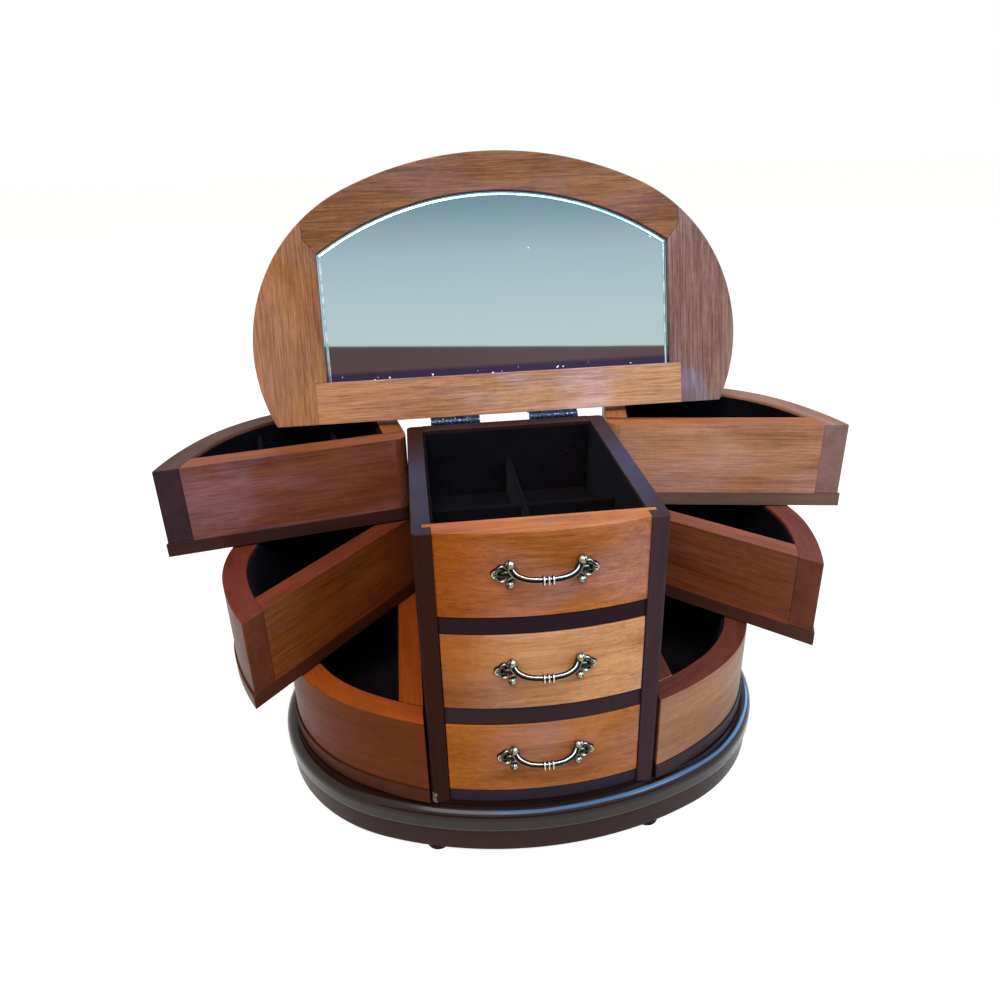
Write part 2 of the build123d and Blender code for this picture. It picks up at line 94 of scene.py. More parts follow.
class Finish:
    """One material, built node by node on a Principled shader."""

    def __init__(self, name, **uniform):
        self.material = bpy.data.materials.new(name)
        self.material.use_nodes = True
        self.tree = self.material.node_tree
        self.shader = self.tree.nodes["Principled BSDF"]
        for socket, value in uniform.items():
            self.shader.inputs[socket.replace("_", " ")].default_value = value

    def feed(self, socket, value):
        if isinstance(value, Field):
            self.tree.links.new(value.socket, socket)
        elif isinstance(value, tuple) and len(value) == 3 and socket.type == "RGBA":
            socket.default_value = (*value, 1.0)
        else:
            socket.default_value = value

    def node(self, kind, settings, sockets, output=0):
        """Any node: its settings first, then its sockets by name or number."""
        made = self.tree.nodes.new("ShaderNode" + kind)
        for setting, value in settings.items():
            if setting == "stops":
                ramp = made.color_ramp
                while len(ramp.elements) < len(value):
                    ramp.elements.new(0.5)
                for element, (place, colour) in zip(ramp.elements, value):
                    element.position = place
                    element.color = (*colour, 1.0)
            else:
                setattr(made, setting, value)
        for socket, value in sockets.items():
            self.feed(made.inputs[socket], value)
        return Field(self, made.outputs[output])

    def grain(self, along, across, depth=None):
        """Where the point was in the straight board, in metres, stretched for a texture."""
        place = self.node("Attribute", {"attribute_name": "grain"}, {}, "Vector")
        stretch = (along, across, across if depth is None else depth)
        return self.node("VectorMath", {"operation": "MULTIPLY"}, {0: place, 1: stretch})

    def place(self):
        """Where the point is on the chest as it stands at rest, in metres."""
        return self.node("TexCoord", {}, {}, "Object")

    def part(self, vector, axis):
        return self.node("SeparateXYZ", {}, {"Vector": vector}, axis)

    def near(self, spot, inner, outer):
        """1 within inner of a spot on the chest, 0 beyond outer."""
        reach = self.node("VectorMath", {"operation": "DISTANCE"}, {0: self.place(), 1: spot}, "Value")
        return 1.0 - reach.step(inner, outer)

    def noise(self, where, detail=2.0, roughness=0.5, distortion=0.0):
        sockets = {"Vector": where, "Scale": 1.0, "Detail": detail, "Roughness": roughness, "Distortion": distortion}
        return self.node("TexNoise", {}, sockets)

    def mix(self, amount, first, second, blend="MIX"):
        settings = {"data_type": "RGBA", "blend_type": blend}
        return self.node("Mix", settings, {0: amount, 6: first, 7: second}, 2)

    def ramp(self, value, stops):
        return self.node("ValToRGB", {"stops": stops}, {"Fac": value})

    def bump(self, height, strength, distance):
        return self.node("Bump", {}, {"Height": height, "Strength": strength, "Distance": distance})

    def finish(self, **sockets):
        for socket, value in sockets.items():
            self.feed(self.shader.inputs[socket.replace("_", " ")], value)
        return self.material


def linear(red, green, blue):
    """A colour as it is seen on a screen, 0 to 255, as the shader needs it."""
    return tuple(
        c / 255 / 12.92 if c / 255 <= 0.04045 else ((c / 255 + 0.055) / 1.055) ** 2.4 for c in (red, green, blue)
    )


def stained(
    name, tones, gloss=0.4, coat=0.0, shine=0.07, figure=1.0, line=1.0, sheen_bloom=None, sheen_amount=0.5, left=None, marks=()
):
    """Lacquered wood: broad bands and fine lines along the grain, with short dark pores.

    The tones are dark, middle and light. The sheen bloom is a second tone in soft clouds: painted sheen, where the
    lacquer would catch the light. Left is the tone that it darkens to towards the left, a painted sheen that leaves
    the right side paler. Each mark is a knock: where it is, how wide, and its colour."""
    dark, middle, light = tones
    paint = Finish(name, IOR=1.45, Specular_IOR_Level=shine, Coat_Roughness=0.14, Coat_IOR=1.4)
    drift = paint.noise(paint.grain(9, 34), 2.0, 0.5, 0.8)
    bands = paint.noise(paint.grain(8, 130), 3.0, 0.6, 0.8)
    lines = paint.noise(paint.grain(30, 850), 2.0, 0.6, 0.3)
    fibres = paint.noise(paint.grain(80, 1900), 2.0, 0.6)
    mottle = paint.noise(paint.grain(240, 340), 2.0, 0.6)
    tone = (bands - 0.5) * (0.9 * figure) + (lines - 0.5) * (1.5 * line) + (fibres - 0.5) * (1.1 * line)
    tone = (tone + (drift - 0.5) * (1.1 * figure) + (mottle - 0.5) * 0.35 + 0.5).limited()
    colour = paint.ramp(tone, [(0.1, dark), (0.5, middle), (0.9, light)])
    # Painted sheen: soft clouds of a paler tone over the wood.
    if sheen_bloom:
        sheen_cloud = paint.noise(paint.grain(15, 24), 2.0, 0.5, 0.6).step(0.44, 0.62) * sheen_amount
        sheen_dark = tuple(c * 0.62 for c in sheen_bloom)
        sheen_light = tuple(min(0.95, c * 1.35) for c in sheen_bloom)
        sheen_tones = paint.ramp(tone, [(0.1, sheen_dark), (0.9, sheen_light)])
        colour = paint.mix(sheen_cloud, colour, sheen_tones)
    # Painted sheen: paler towards the right, darkening to the left tone at the left end.
    if left:
        sheenless_side = 1.0 - paint.part(paint.place(), "X").step(-48 * MM, 2 * MM)
        sheenless_tone = paint.ramp(tone, [(0.1, tuple(c * 0.62 for c in left)), (0.9, tuple(c * 1.4 for c in left))])
        colour = paint.mix(sheenless_side * 0.9, colour, sheenless_tone)
    pore = paint.noise(paint.grain(60, 1700), 1.0, 0.5).step(0.6, 0.7) * (0.55 * line)
    colour = paint.mix(pore, colour, tuple(c * 0.5 for c in dark))
    speck = paint.noise(paint.grain(420, 420), 1.0, 0.5).step(0.83, 0.85)
    colour = paint.mix(speck * 0.4, colour, tuple(min(1.0, 1.6 * c + 0.04) for c in light))
    for spot, wide, knock in marks:
        ragged = paint.noise(paint.grain(900, 900), 2.0, 0.6).step(0.42, 0.56)
        colour = paint.mix(paint.near(spot, wide * 0.4, wide) * ragged, colour, knock)
    worn = paint.noise(paint.grain(90, 220), 3.0, 0.6)
    rough = gloss + (worn - 0.5) * 0.2 + pore * 0.2
    relief = paint.bump(lines * 0.6 + fibres * 0.4 - pore, 0.12, 0.0003)
    return paint.finish(Base_Color=colour, Roughness=rough, Normal=relief, Coat_Weight=coat)


def eased(node, material, body, grain, edge=0.0006, turns=2, patches=()):
    """The node's piece with its sharp edges eased, marked with its own straight grain.

    Each patch is a finish, and the rule by which a face's middle and normal take it."""
    shape = bmesh.new()
    shape.from_mesh(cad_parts[node].data)
    bmesh.ops.remove_doubles(shape, verts=shape.verts, dist=1e-6)
    bmesh.ops.dissolve_limit(shape, angle_limit=radians(0.4), verts=shape.verts, edges=shape.edges)
    mesh = bpy.data.meshes.new(node + ".eased")
    shape.to_mesh(mesh)
    shape.free()
    blank = bpy.data.objects.new(node + ".blank", mesh)
    bpy.context.scene.collection.objects.link(blank)
    if edge:
        bevel = blank.modifiers.new("ease", "BEVEL")
        bevel.width = edge
        bevel.segments = turns
        bevel.limit_method = "ANGLE"
        bevel.angle_limit = radians(28)
        bevel.use_clamp_overlap = True
    flat = blank.modifiers.new("flats", "WEIGHTED_NORMAL")
    flat.keep_sharp = True
    blank.data.polygons.foreach_set("use_smooth", [True] * len(blank.data.polygons))
    ready = blank.evaluated_get(bpy.context.evaluated_depsgraph_get())
    finished = bpy.data.meshes.new_from_object(ready)
    bpy.data.objects.remove(blank)
    marks = finished.attributes.new("grain", "FLOAT_VECTOR", "CORNER")
    for face in finished.polygons:
        middle = face.center
        for corner in face.loop_indices:
            place = finished.vertices[finished.loops[corner].vertex_index].co
            marks.data[corner].vector = grain(place, middle)
    finished.materials.clear()
    finished.materials.append(material)
    for number, (patch, covers) in enumerate(patches, 1):
        finished.materials.append(patch)
        for face in finished.polygons:
            if covers(face.center, face.normal):
                face.material_index = number
    piece = bpy.data.objects.new(node + "_piece", finished)
    bpy.context.scene.collection.objects.link(piece)
    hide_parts(node)
    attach(piece, body)
    return piece


def board_x(shift):
    """A straight board whose grain runs across the chest."""
    return lambda place, middle: (place.x + shift, place.z + 0.37 * shift, place.y)


def board_y(shift):
    """A straight board whose grain runs from front to rear."""
    return lambda place, middle: (place.y + shift, place.x + 0.37 * shift, place.z)


def board_z(shift):
    """A straight board whose grain runs up."""
    return lambda place, middle: (place.z + shift, place.x + 0.37 * shift, place.y)


def around(red, green, blue, spread=0.42):
    """The dark, middle and light tones of a stain, spread about one colour."""
    middle = linear(red, green, blue)
    dark = tuple(c * (1.0 - spread) ** (1.0 + 0.25 * n) for n, c in enumerate(middle))
    light = tuple(min(0.95, c * (1.0 + spread) ** (1.0 + 0.12 * n)) for n, c in enumerate(middle))
    return dark, middle, light


plum = stained("plum_stain", around(54, 29, 26, 0.3), gloss=0.34, coat=0.14, figure=0.6, line=0.25)
feet = stained("foot_stain", around(30, 17, 15), gloss=0.5)
plain_board = stained("plain_board", around(182, 148, 108, 0.25), gloss=0.6)

eased("foot_pads", feet, "chest", board_x(0.1), 0.0003)
eased("base_panel", plain_board, "chest", board_x(0.2), 0.0)
eased("plinth_skirt", plum, "chest", board_x(0.3), 0.0008)
moulded = stained("plum_moulding", around(34, 15, 10, 0.3), gloss=0.34, coat=0.75, shine=0.05, figure=0.5, line=0.2)
eased("plinth_top", moulded, "chest", board_x(0.5), 0.0005)

# ---- Tower -------------------------------------------------------------------------------
# Two side panels, whose rounded front edges are the posts, a back, three bowed rails and
# thin shelves, glued up and stained dark. The fixed top front is housed between the panels.
pale_knock = linear(196, 186, 178)
scuffs = [((-57.5 * MM, -64.5 * MM, z * MM), 2.6 * MM, pale_knock) for z in (31.5, 35.0)]
dull = {"coat": 0.02, "shine": 0.02, "figure": 0.5, "line": 0.3}
# The right post's paler, bluer tone is painted sheen; the left post has its own dark stain and pale scuffs at its
# foot.
for side, shift, tone, knocks in (("left", 0.2, (54, 28, 20), scuffs), ("right", 0.9, (68, 49, 52), ())):
    post_stain_and_sheen = stained(f"post_stain_and_sheen_{side}", around(*tone, 0.3), marks=knocks, **dull)
    eased(f"tower_side_{side}", post_stain_and_sheen, "chest", board_z(shift), 0.0005)
eased("tower_back", plum, "chest", board_z(1.4), 0.0004)
rail_tones = (("rail_lower", (54, 44, 52)), ("rail_middle", (58, 42, 44)), ("rail_upper", (46, 30, 34)))
for turn, (rail, tone) in enumerate(rail_tones):
    rail_stain = stained(f"{rail}_stain", around(*tone, 0.25), coat=0.02, shine=0.03, figure=0.5, line=0.2)
    eased(rail, rail_stain, "chest", board_x(0.7 + 0.4 * turn), 0.0005)
eased("shelf_boards", plain_board, "chest", board_x(1.9), 0.0)

# The top arris of each front is paler and more orange: partly wear, partly a painted highlight along the edge that
# faces up.
edge_wear_and_highlight = stained("edge_wear_and_highlight", around(206, 142, 92, 0.3), coat=0.05, line=0.4)


def is_arris(middle, normal):
    """The eased edge between a front's face and its top."""
    return 0.25 < normal.z < 0.95


# Painted sheen: paler pink clouds, and the front paler towards the right; the left end keeps a deep orange.
look = {"line": 0.6, "sheen_bloom": linear(192, 128, 108), "sheen_amount": 0.8, "left": linear(160, 78, 12)}
honey = stained("honey_stain_top", around(188, 110, 52, 0.4), coat=0.02, shine=0.04, **look)
eased("false_front", honey, "chest", board_x(0.15), 0.0007, patches=[(edge_wear_and_highlight, is_arris)])

# ---- Drawers -----------------------------------------------------------------------------
# Two drawers slide on the shelves. Each has a bowed front of the same honey-brown wood as
# the fixed one, on a plain box.
for name, shift, tone, sheen_cloud, sheenless_tone in (
    ("drawer_upper", 1.1, (224, 156, 104), (226, 166, 138), (160, 84, 18)),
    ("drawer_lower", 2.3, (190, 116, 64), (190, 128, 104), (174, 96, 28)),
):
    front_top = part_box(f"{name}_front")[1].z
    chip = ()
    if name == "drawer_upper":
        chip = [((-43.0 * MM, -64.6 * MM, front_top - 2.0 * MM), 1.6 * MM, linear(196, 104, 84))]
    # Painted sheen: paler pink clouds, and each front paler towards the right than at its left end.
    look = {"sheen_bloom": linear(*sheen_cloud), "sheen_amount": 0.75, "left": linear(*sheenless_tone), "marks": chip}
    honey = stained(f"honey_stain_{name}", around(*tone, 0.36), coat=0.02, shine=0.04, line=0.48, **look)
    eased(f"{name}_front", honey, name, board_x(shift), 0.0009, patches=[(edge_wear_and_highlight, is_arris)])
    eased(f"{name}_box", plain_board, name, board_y(shift), 0.0003)

# ---- Velvet ------------------------------------------------------------------------------
# Black velvet on thin card lines the well, the drawers and the trays. The dividers are thin
# boards wrapped in it.
nap_sheen = {"Sheen_Weight": 0.05, "Sheen_Roughness": 0.3, "Sheen_Tint": (0.58, 0.58, 0.66, 1.0)}
pile = Finish("black_velvet", Specular_IOR_Level=0.0, **nap_sheen)
nap = pile.noise(pile.grain(900, 900), 3.0, 0.7)
brushed = pile.noise(pile.grain(26, 26), 3.0, 0.6)
lint = pile.noise(pile.grain(420, 420), 1.0, 0.5).step(0.8, 0.815)
black = pile.ramp((nap * 0.55 + brushed * 0.45).limited(), [(0.3, linear(11, 9, 11)), (0.7, linear(30, 27, 31))])
black = pile.mix(lint * 0.5, black, linear(96, 94, 100))
velvet = pile.finish(Base_Color=black, Roughness=0.95, Normal=pile.bump(nap, 0.5, 0.0006))
eased("well_lining", velvet, "chest", board_x(0.0), 0.0004)
eased("well_dividers", velvet, "chest", board_x(0.3), 0.0012, 3)
for name in ("drawer_upper", "drawer_lower"):
    eased(f"{name}_lining", velvet, name, board_x(0.6), 0.0004)

# ---- Trays -------------------------------------------------------------------------------
# Six D-shaped trays turn on a steel rod at each rear corner of the tower. Each is a curved
# wall, a flat wall and a rear wall on a darker base strip, lined with velvet.
rear_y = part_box("tower_back")[1].y
side_arc = 90.9 * MM
wide_x = 44.3 * MM
wide_y = rear_y - 41.3 * MM
front_arc = 165.4 * MM
front_centre_y = wide_y - 105.5 * MM + front_arc
meet = atan2(wide_y - front_centre_y, wide_x)
flat_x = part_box("tray_lower_right_base")[0].x
hinge_x = flat_x + 9.2 * MM
hinge_y = rear_y - 9.2 * MM
rear_wall = 12.0 * MM
swing = {"lower": (0.0, 0.0), "middle": (39.3, 45.9), "upper": (79.3, 79.3)}


def shut(place, side, angle):
    """Where a point of a swung tray is when that tray is shut, seen as a right-hand one."""
    x, y = place.x * side - hinge_x, place.y - hinge_y
    turn = radians(angle)
    return hinge_x + x * cos(turn) + y * sin(turn), hinge_y - x * sin(turn) + y * cos(turn), place.z


def bent_wall(side, angle, shift):
    """The curved wall's grain follows its bend."""

    def grain(place, middle):
        x, y, z = shut(place, side, angle)
        turn = atan2(y - front_centre_y, x)
        if turn < meet:
            return front_arc * (turn - meet) + shift, z, hypot(x, y - front_centre_y) - front_arc
        return side_arc * (atan2(y - wide_y, x - wide_x) - meet) + shift, z, hypot(x - wide_x, y - wide_y) - side_arc

    return grain


def straight_wall(side, angle, shift):
    """The flat wall's grain runs forward, and the rear wall's runs across."""

    def grain(place, middle):
        x, y, z = shut(place, side, angle)
        if shut(middle, side, angle)[1] > rear_y - rear_wall:
            return x + shift, z, y
        return y + shift, z, x

    return grain


def flat_board(side, angle, shift):
    """The base's grain runs from front to rear."""

    def grain(place, middle):
        x, y, z = shut(place, side, angle)
        return y + shift, x, z

    return grain


# Per tray: flat wall, curved wall, sawn end, base strip, flat rim, curved rim, clouds. The same wood is given a
# lighter or darker tone per tray and per face, painted sheen on faces turned to the light and painted shade on faces
# under the trays above, and the clouds are painted sheen.
russet_lit_and_shaded = {
    "upper_left": (
        (120, 66, 44), (120, 66, 44), (62, 40, 46), (66, 38, 32),
        (146, 80, 44), (82, 52, 40), (146, 102, 106),
    ),
    "upper_right": (
        (184, 126, 90), (184, 126, 90), (144, 106, 98), (116, 86, 72),
        (164, 96, 54), (150, 106, 86), (188, 140, 124),
    ),
    "middle_left": (
        (134, 70, 30), (100, 52, 26), (112, 58, 34), (86, 44, 26),
        (112, 52, 30), (104, 46, 32), (136, 80, 50),
    ),
    "middle_right": (
        (124, 68, 38), (124, 68, 38), (112, 64, 44), (86, 54, 44),
        (142, 84, 64), (116, 64, 54), (134, 78, 54),
    ),
    "lower_left": (
        (108, 46, 6), (108, 48, 8), (100, 44, 12), (72, 34, 14),
        (154, 70, 22), (148, 66, 20), (106, 52, 18),
    ),
    "lower_right": (
        (178, 124, 84), (178, 124, 84), (130, 84, 60), (52, 34, 36),
        (104, 56, 42), (104, 54, 40), (178, 136, 108),
    ),
}
for tier in ("lower", "middle", "upper"):
    for number, side_name in enumerate(("left", "right")):
        body = f"tray_{tier}_{side_name}"
        side = (-1, 1)[number]
        angle = swing[tier][number]
        shift = 0.31 * len(tier) + 0.77 * number
        wall_tone, curve_tone, end_tone, base_tone, rim_tone, bent_tone, tray_sheen_tone = russet_lit_and_shaded[f"{tier}_{side_name}"]
        kind = f"russet_{tier}_{side_name}"
        sheen_cloud = linear(*tray_sheen_tone)
        walls = stained(kind, around(*wall_tone, 0.36), coat=0.04, line=0.75, sheen_bloom=sheen_cloud, sheen_amount=0.6)
        curved = stained(f"{kind}_curve", around(*curve_tone, 0.32), coat=0.04, line=0.5, sheen_bloom=sheen_cloud, sheen_amount=0.35)
        ends = stained(f"{kind}_end", around(*end_tone, 0.3), coat=0.04, line=0.3)
        rims = stained(f"{kind}_rim", around(*rim_tone, 0.34), coat=0.04, line=0.5)
        bent_rims = stained(f"{kind}_bent_rim", around(*bent_tone, 0.34), coat=0.04, line=0.5)
        strip = stained(f"{kind}_base", around(*base_tone, 0.3), coat=0.04, line=0.4)

        def is_end(middle, normal, side=side, angle=angle):
            """The sawn end of the curved wall, level with the flat wall's face."""
            return abs(normal.z) < 0.5 and shut(middle, side, angle)[0] < flat_x + 0.4 * MM

        def is_rim(middle, normal):
            """The walls' upper edges."""
            return normal.z > 0.8

        eased(f"{body}_base", strip, body, flat_board(side, angle, shift), 0.0006)
        curve = bent_wall(side, angle, shift)
        flat = straight_wall(side, angle, shift)
        bent_patches = [(bent_rims, is_rim), (ends, is_end)]
        eased(f"{body}_curved_wall", curved, body, curve, 0.0006, patches=bent_patches)
        eased(f"{body}_straight_walls", walls, body, flat, 0.0005, patches=[(rims, is_rim)])
        eased(f"{body}_lining", velvet, body, flat_board(side, angle, shift), 0.0004)
eased("tray_upper_left_dividers", velvet, "tray_upper_left", flat_board(-1, 79.3, 0.5), 0.0009, 3)

steel = Finish("plain_steel", Metallic=1.0)
drawn = steel.noise(steel.grain(300, 300), 3.0, 0.6)
steel_tone = steel.ramp(drawn, [(0.3, linear(120, 118, 116)), (0.7, linear(172, 171, 170))])
bright_steel = steel.finish(Base_Color=steel_tone, Roughness=0.25 + drawn * 0.2)
eased("tray_pivots", bright_steel, "chest", board_z(0.0), 0.0002)

# ---- Lid ---------------------------------------------------------------------------------
# A frame of two stiles and two rails round an arched mirror, backed by a board with a
# rounded edge. It stands open on its hinges, leaning back a little.
pin_y = rear_y + 3.1 * MM
pin_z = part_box("tower_back")[1].z + 0.25 * MM
lid_turn = radians(106.1)


def lid_down(place):
    """Where a point of the open lid is when the lid is shut."""
    y, z = place.y - pin_y, place.z - pin_z
    return place.x, pin_y + y * cos(lid_turn) - z * sin(lid_turn), pin_z + y * sin(lid_turn) + z * cos(lid_turn)


def stile_grain(shift):
    """Grain from the hinges to the front of the lid."""

    def grain(place, middle):
        x, y, z = lid_down(place)
        return y + shift, x + shift, z

    return grain


def rail_grain(shift):
    """Grain across the lid."""

    def grain(place, middle):
        x, y, z = lid_down(place)
        return x + shift, y + shift, z

    return grain


# Painted sheen and reflection: the right stile is mauve and the bottom rail paler and pinker than the wood, as
# reflected light makes them; the clouds on each frame piece are painted sheen too.
stile_left = stained("lid_stile_left_stain", around(158, 104, 64), coat=0.04, sheen_bloom=linear(158, 112, 90))
mauve_sheen = linear(144, 122, 138)
stile_right = stained("lid_stile_right_stain_and_sheen", around(144, 106, 92), coat=0.04, sheen_bloom=mauve_sheen, sheen_amount=0.9)
rail_top = stained("lid_rail_top_stain", around(140, 92, 54), coat=0.04, sheen_bloom=linear(132, 94, 84))
look = {"sheen_bloom": linear(204, 164, 156), "sheen_amount": 0.8, "left": linear(176, 118, 80)}
rail_low = stained("lid_rail_bottom_stain_and_reflection", around(196, 142, 102, 0.34), coat=0.04, **look)
lid_back = stained("lid_back_stain", around(110, 62, 40), coat=0.2)
eased("lid_stile_left", stile_left, "lid", stile_grain(0.2), 0.0004)
eased("lid_stile_right", stile_right, "lid", stile_grain(0.9), 0.0004)
eased("lid_rail_top", rail_top, "lid", rail_grain(0.4), 0.0004)
eased("lid_rail_bottom", rail_low, "lid", rail_grain(1.3), 0.0004)
eased("lid_top", lid_back, "lid", rail_grain(2.0), 0.0004)

low_y, arch_y = rear_y - 23.9 * MM, rear_y - 126.4 * MM
# Painted reflection in the silvering's colour: pale grey-green low down, darker and bluer towards the arch, and a
# dark blue band along the bottom edge.
silver = Finish("silvered_glass", Metallic=1.0)
spread = silver.node("Attribute", {"attribute_name": "grain"}, {}, "Vector")
up_glass = (low_y - silver.part(spread, "Y")) / (low_y - arch_y)
reflection_haze = silver.noise(silver.grain(12, 30), 3.0, 0.6)
reflection_stops = [
    (0.05, linear(182, 204, 206)),
    (0.45, linear(172, 196, 202)),
    (0.68, linear(160, 186, 197)),
    (0.95, linear(118, 146, 160)),
]
glass_and_reflection_tone = silver.ramp((up_glass + (reflection_haze - 0.5) * 0.1).limited(), reflection_stops)
reflected_blue_band = 1.0 - up_glass.step(0.03, 0.06)
glass_and_reflection_tone = silver.mix(reflected_blue_band * 0.9, glass_and_reflection_tone, linear(120, 130, 190))
speck = silver.noise(silver.grain(330, 330), 1.0, 0.5)
flaw = (speck.step(0.82, 0.84) + (1.0 - up_glass.step(0.02, 0.04)) * speck.step(0.7, 0.72)).limited()
glass_and_reflection_tone = silver.mix(flaw, glass_and_reflection_tone, linear(242, 246, 248))
mirror_glass = silver.finish(Base_Color=glass_and_reflection_tone, Roughness=0.025 + flaw * 0.4)
eased("mirror", mirror_glass, "lid", rail_grain(0.0), 0.0)

# The mirror's ground edge: a thin bright bevel inside the opening, along its arch and sides.
ground = Finish("ground_edge", Metallic=1.0, Roughness=0.12)
ripple = ground.noise(ground.grain(160, 160), 2.0, 0.5)
edge_tone = ground.ramp(ripple, [(0.35, linear(150, 192, 204)), (0.65, linear(216, 236, 238))])
ground_edge = ground.finish(Base_Color=edge_tone)
opening_half, side_y = 101.6 * MM, rear_y - 95.4 * MM
arch_radius = (opening_half**2 + (side_y - arch_y) ** 2) / (2 * (side_y - arch_y))
shut_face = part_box("tower_back")[1].z + 0.5 * MM + 2.5 * MM


def lid_open(x, y, z):
    """A point of the shut lid, where it stands when the lid is open."""
    y, z = y - pin_y, z - pin_z
    return x, pin_y + y * cos(lid_turn) + z * sin(lid_turn), pin_z - y * sin(lid_turn) + z * cos(lid_turn)


def arch_line(inset):
    """The opening's sides and arch, inset by a distance, from low left to low right."""
    half, radius = opening_half - inset, arch_radius - inset
    corner = asin(half / radius)
    line = [(-half, low_y - (low_y - side_y) * step / 12) for step in range(12)]
    for step in range(81):
        turn = corner * (step / 40 - 1)
        line.append((radius * sin(turn), arch_y + arch_radius - radius * cos(turn)))
    return line + [(half, low_y - (low_y - side_y) * step / 12) for step in range(11, -1, -1)]


bevel_mesh = bpy.data.meshes.new("mirror_bevel")
bevel_shape = bmesh.new()
rows = []
for inset, lift in ((1.0, 0.04), (1.15, 0.12), (2.3, 0.34), (2.5, 0.3), (2.6, 0.04)):
    line = arch_line(inset * MM)
    rows.append([bevel_shape.verts.new(lid_open(x, y, shut_face - lift * MM)) for x, y in line])
for outer, inner in zip(rows, rows[1:]):
    for step in range(len(outer) - 1):
        bevel_shape.faces.new((outer[step], outer[step + 1], inner[step + 1], inner[step]))
bmesh.ops.recalc_face_normals(bevel_shape, faces=bevel_shape.faces)
bevel_shape.to_mesh(bevel_mesh)
bevel_shape.free()
marks = bevel_mesh.attributes.new("grain", "FLOAT_VECTOR", "POINT")
for number, vertex in enumerate(bevel_mesh.vertices):
    marks.data[number].vector = lid_down(vertex.co)
bevel_mesh.materials.append(ground_edge)
bevel = bpy.data.objects.new("mirror_bevel", bevel_mesh)
bpy.context.scene.collection.objects.link(bevel)
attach(bevel, "lid")

# ---- Lid hinges --------------------------------------------------------------------------
# Two small butt hinges join the rear edges of the tower and the lid. The steel has gone dark, and the small bright
# patches scattered over it are painted glints.
dark_steel = Finish("darkened_steel", Metallic=1.0)
tarnish_and_glints = dark_steel.noise(dark_steel.grain(900, 900), 3.0, 0.6)
glint_and_tarnish_stops = [(0.36, linear(30, 30, 34)), (0.6, linear(58, 58, 62)), (0.72, linear(150, 150, 152))]
hinge_tone = dark_steel.ramp(tarnish_and_glints, glint_and_tarnish_stops)
hinge_steel = dark_steel.finish(Base_Color=hinge_tone, Roughness=0.3 + tarnish_and_glints * 0.2)
for node, body in (
    ("hinge_leaves_tower", "chest"),
    ("hinge_screws_tower", "chest"),
    ("hinge_pins", "chest"),
    ("hinge_leaves_lid", "lid"),
    ("hinge_screws_lid", "lid"),
):
    eased(node, hinge_steel, body, board_x(0.0), 0.0002)

# ---- Pulls -------------------------------------------------------------------------------
# Cast pulls in antique brass, black in the hollows and rubbed bright on the high spots, with a painted highlight on
# the balls' tops, fronts and right sides: a three-petalled flower with two balls at each end, and a bowed grooved
# bar with three rings.
old_brass = Finish("antique_brass", Metallic=1.0)
height = old_brass.node("Attribute", {"attribute_name": "rubbed"}, {}, "Fac")
fine_place = old_brass.node("VectorMath", {"operation": "SCALE"}, {0: old_brass.place(), "Scale": 900.0})
cast = old_brass.noise(fine_place, 3.0, 0.6)
rubbed = (height + (cast - 0.5) * 0.5).limited()
brass_stops = [
    (0.1, linear(20, 18, 18)),
    (0.42, linear(74, 66, 52)),
    (0.68, linear(160, 148, 118)),
    (0.95, linear(212, 203, 176)),
]
brass_tone = old_brass.ramp(rubbed, brass_stops)
pitted = old_brass.bump(cast, 0.25, 0.0002)
brass = old_brass.finish(Base_Color=brass_tone, Roughness=0.42 - rubbed * 0.2, Normal=pitted)

flower_x, ball_x, ball_up, bar_stand = 20.0, 16.2, 5.2, 8.0
front_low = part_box("drawer_lower_front")[0]
front_radius, face_y = 197.9, front_low.y / MM


def face_at(x):
    """How far behind its middle a bowed front's face lies, x mm from the middle."""
    return front_radius - sqrt(front_radius**2 - x * x)


def bar_at(x):
    """The bar's axis in front of the face's middle, on one arc from end to end."""
    depth = face_at(ball_x) - 1.25 + bar_stand
    radius = (ball_x**2 + depth**2) / (2 * depth)
    return radius - sqrt(radius**2 - x * x) - bar_stand


def bell(value, middle, width):
    return 2.718 ** (-(((value - middle) / width) ** 2))


def skin(shape, rows, closed=True):
    """Faces between rows of (point, rubbed) pairs."""
    heights = shape.verts.layers.float["rubbed"]
    made = []
    for row in rows:
        ring = []
        for point, worn in row:
            vertex = shape.verts.new(point)
            vertex[heights] = worn
            ring.append(vertex)
        made.append(ring)
    for first, second in zip(made, made[1:]):
        for step in range(len(first) if closed else len(first) - 1):
            after = (step + 1) % len(first)
            shape.faces.new((first[step], first[after], second[after], second[step]))
    return made


def ball(shape, x, y, z, radius, side):
    """A ball with a small crease where the scroll runs into it."""
    rows = []
    for band in range(1, 16):
        lean = pi * band / 16
        row = []
        for step in range(28):
            turn = 2 * pi * step / 28
            way = Vector((sin(lean) * cos(turn), sin(lean) * sin(turn), cos(lean)))
            crease = bell(way.x * side + way.z * 0.4, 0.62, 0.16)
            reach = radius * (1.0 - 0.1 * crease)
            # Painted highlight and wear: lighter towards the top, the front and the right, as rubbing and light from
            # above right make it; the crease stays dark with patina.
            worn = 0.46 + 0.3 * way.z - 0.16 * way.y + 0.12 * way.x - 0.5 * crease
            row.append((Vector((x, y, z)) + way * reach, worn))
        rows.append(row)
    made = skin(shape, rows)
    for ring in (made[0], made[-1]):
        shape.faces.new(ring)


